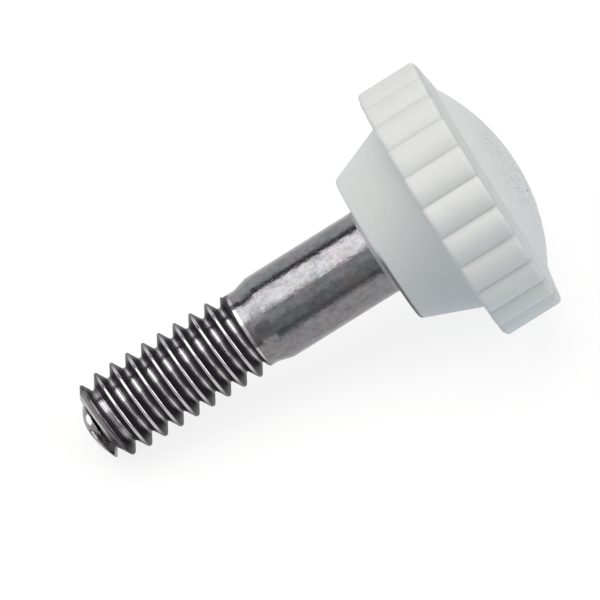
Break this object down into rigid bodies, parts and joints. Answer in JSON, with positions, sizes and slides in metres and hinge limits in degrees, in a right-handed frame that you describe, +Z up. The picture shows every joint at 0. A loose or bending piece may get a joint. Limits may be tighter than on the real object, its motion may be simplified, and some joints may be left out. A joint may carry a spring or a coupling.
{
  "type": "thumb screw",
  "caption": "Thumb screw with a fluted, domed white plastic knob moulded on a steel shoulder stud with a coarse right-hand thread.",
  "frame": {"origin": "on the floor under the middle of the screw's bounding box, as it lies on its side", "axes": "+Z up, the screw's axis in the XZ plane, sloping up by about 14 degrees from the thread's tip at -X to the knob's dome at +X"},
  "size_m": [0.0338, 0.0192, 0.0196],
  "materials": {
    "knob_plastic": "off-white moulded plastic, satin, slightly scuffed",
    "stud_steel": "bright plated steel, turned shank and rolled thread"
  },
  "bodies": {
    "root": {"knob": "knob_plastic", "threaded_stud": "stud_steel"}
  },
  "joints": []
}
